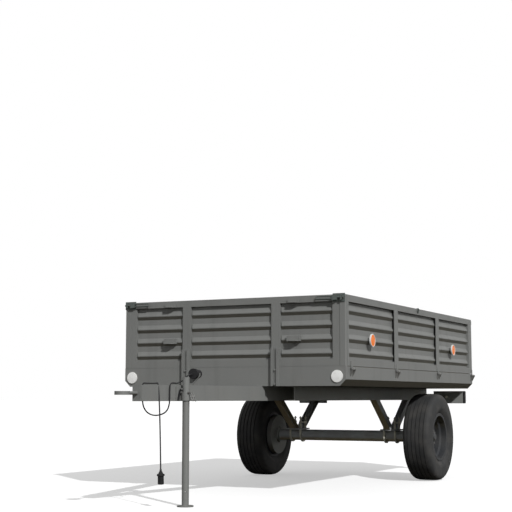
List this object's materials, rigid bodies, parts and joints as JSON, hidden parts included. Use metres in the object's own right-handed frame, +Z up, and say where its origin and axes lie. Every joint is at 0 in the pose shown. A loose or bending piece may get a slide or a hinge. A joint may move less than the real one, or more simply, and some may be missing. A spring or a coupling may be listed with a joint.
{
  "type": "trailer",
  "caption": "Single-axle drop-side farm trailer with ribbed boards, an A-frame drawbar with a tow eye, a clamp jack and V-braced axle on implement tyres.",
  "frame": {"origin": "middle of the footprint, on the ground", "axes": "+Z up, drawbar towards -Y, tail towards +Y, the trailer's left side at +X"},
  "size_m": [2.156, 5.302, 1.65],
  "materials": {
    "body_paint": "satin grey paint, lightly worn",
    "chassis_paint": "satin grey paint, dusty",
    "rim_paint": "dark grey paint",
    "dark_paint": "dark grey paint",
    "bare_steel": "dull plated steel",
    "plated_steel": "dull plated steel with a little rust",
    "black_plastic": "black moulded plastic",
    "cable": "black cable sheath",
    "white_reflector": "clear prismatic reflector lens",
    "amber_reflector": "amber prismatic reflector lens in a white body",
    "tyre": "black rubber"
  },
  "bodies": {
    "root": {"front_board_frame": "body_paint", "front_board_sheet": "body_paint", "corner_pillars": "body_paint", "post_channels": "body_paint", "front_steps": "body_paint", "front_latches": "plated_steel", "hinge_lugs": "body_paint", "side_rails": "body_paint", "end_rails": "body_paint", "floor_sheet": "body_paint", "cross_members": "chassis_paint", "chassis_beams": "chassis_paint", "drawbar": "body_paint", "tow_eye": "body_paint", "jack_clamp": "body_paint", "axle_tube": "chassis_paint", "axle_saddles": "chassis_paint", "axle_hangers": "chassis_paint", "u_bolts": "bare_steel", "backing_plates": "dark_paint", "lamp_carrier": "body_paint", "rear_lamps": "black_plastic", "front_reflectors": "white_reflector", "socket_bracket": "body_paint", "lighting_socket": "black_plastic", "lighting_cable": "cable", "cable_plug": "black_plastic"},
    "side_board_left": {"side_board_frame_left": "body_paint", "side_board_sheet_left": "body_paint", "side_reflectors_left": "amber_reflector"},
    "side_board_right": {"side_board_frame_right": "body_paint", "side_board_sheet_right": "body_paint", "side_reflectors_right": "amber_reflector"},
    "rear_board": {"rear_board_frame": "body_paint", "rear_board_sheet": "body_paint", "rear_latches": "plated_steel"},
    "wheel_left": {"tyre_left": "tyre", "rim_left": "rim_paint", "hub_left": "dark_paint", "brake_drum_left": "dark_paint"},
    "wheel_right": {"tyre_right": "tyre", "rim_right": "rim_paint", "hub_right": "dark_paint", "brake_drum_right": "dark_paint"},
    "jack": {"jack_leg": "plated_steel"}
  },
  "joints": [
    {"name": "side_board_left_hinge", "type": "hinge", "parent": "root", "child": "side_board_left", "pos_m": [1.066, 0.9, 1.04], "axis": [0, 1, 0], "range_deg": [0, 172]},
    {"name": "side_board_right_hinge", "type": "hinge", "parent": "root", "child": "side_board_right", "pos_m": [-1.066, 0.9, 1.04], "axis": [0, -1, 0], "range_deg": [0, 172]},
    {"name": "rear_board_hinge", "type": "hinge", "parent": "root", "child": "rear_board", "pos_m": [0, 2.639, 1.04], "axis": [-1, 0, 0], "range_deg": [0, 172]},
    {"name": "wheel_left_spin", "type": "hinge", "parent": "root", "child": "wheel_left", "pos_m": [0.907, 1.544, 0.4225], "axis": [1, 0, 0], "continuous": true},
    {"name": "wheel_right_spin", "type": "hinge", "parent": "root", "child": "wheel_right", "pos_m": [-0.907, 1.544, 0.4225], "axis": [1, 0, 0], "continuous": true},
    {"name": "jack_slide", "type": "slide", "parent": "root", "child": "jack", "axis": [0, 0, 1], "range_m": [0, 0.45]}
  ]
}
